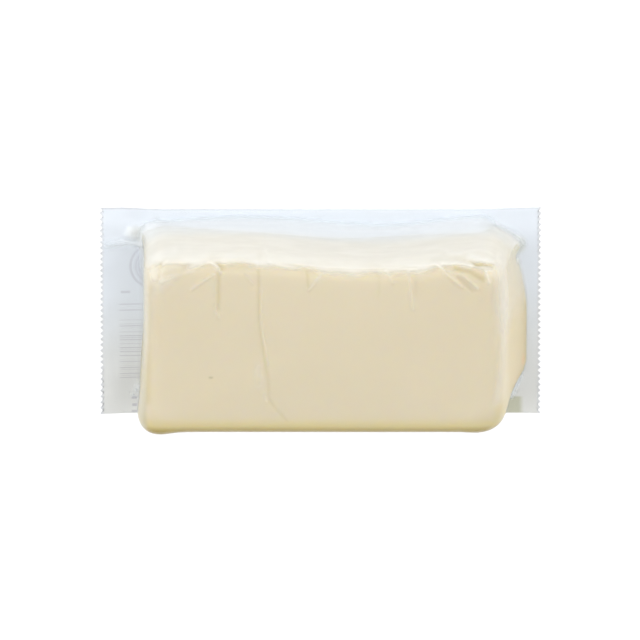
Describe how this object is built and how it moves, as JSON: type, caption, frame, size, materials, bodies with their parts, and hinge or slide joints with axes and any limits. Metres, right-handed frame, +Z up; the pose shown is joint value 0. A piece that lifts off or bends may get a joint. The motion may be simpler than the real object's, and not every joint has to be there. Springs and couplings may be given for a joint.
{
  "type": "vacuum packed mozzarella block",
  "caption": "Vacuum-packed block of mozzarella: pale cheese under clear wrinkled film, sealed all round to a flat white backing film with pinked ends.",
  "frame": {"origin": "middle of the backing film's underside, on which the pack lies", "axes": "+X along the block, +Y across it to the long side that has the most spare film, +Z up through the block"},
  "size_m": [0.182, 0.0936, 0.0368],
  "materials": {
    "cheese": "smooth, moist, slightly translucent pale cream cheese",
    "clear_film": "clear glossy packaging film, wrinkled and creased",
    "white_film": "white backed packaging film, satin, with the print on its outside showing faintly through"
  },
  "bodies": {
    "root": {"film_pocket": "cheese", "backing_film": "white_film"}
  },
  "joints": []
}
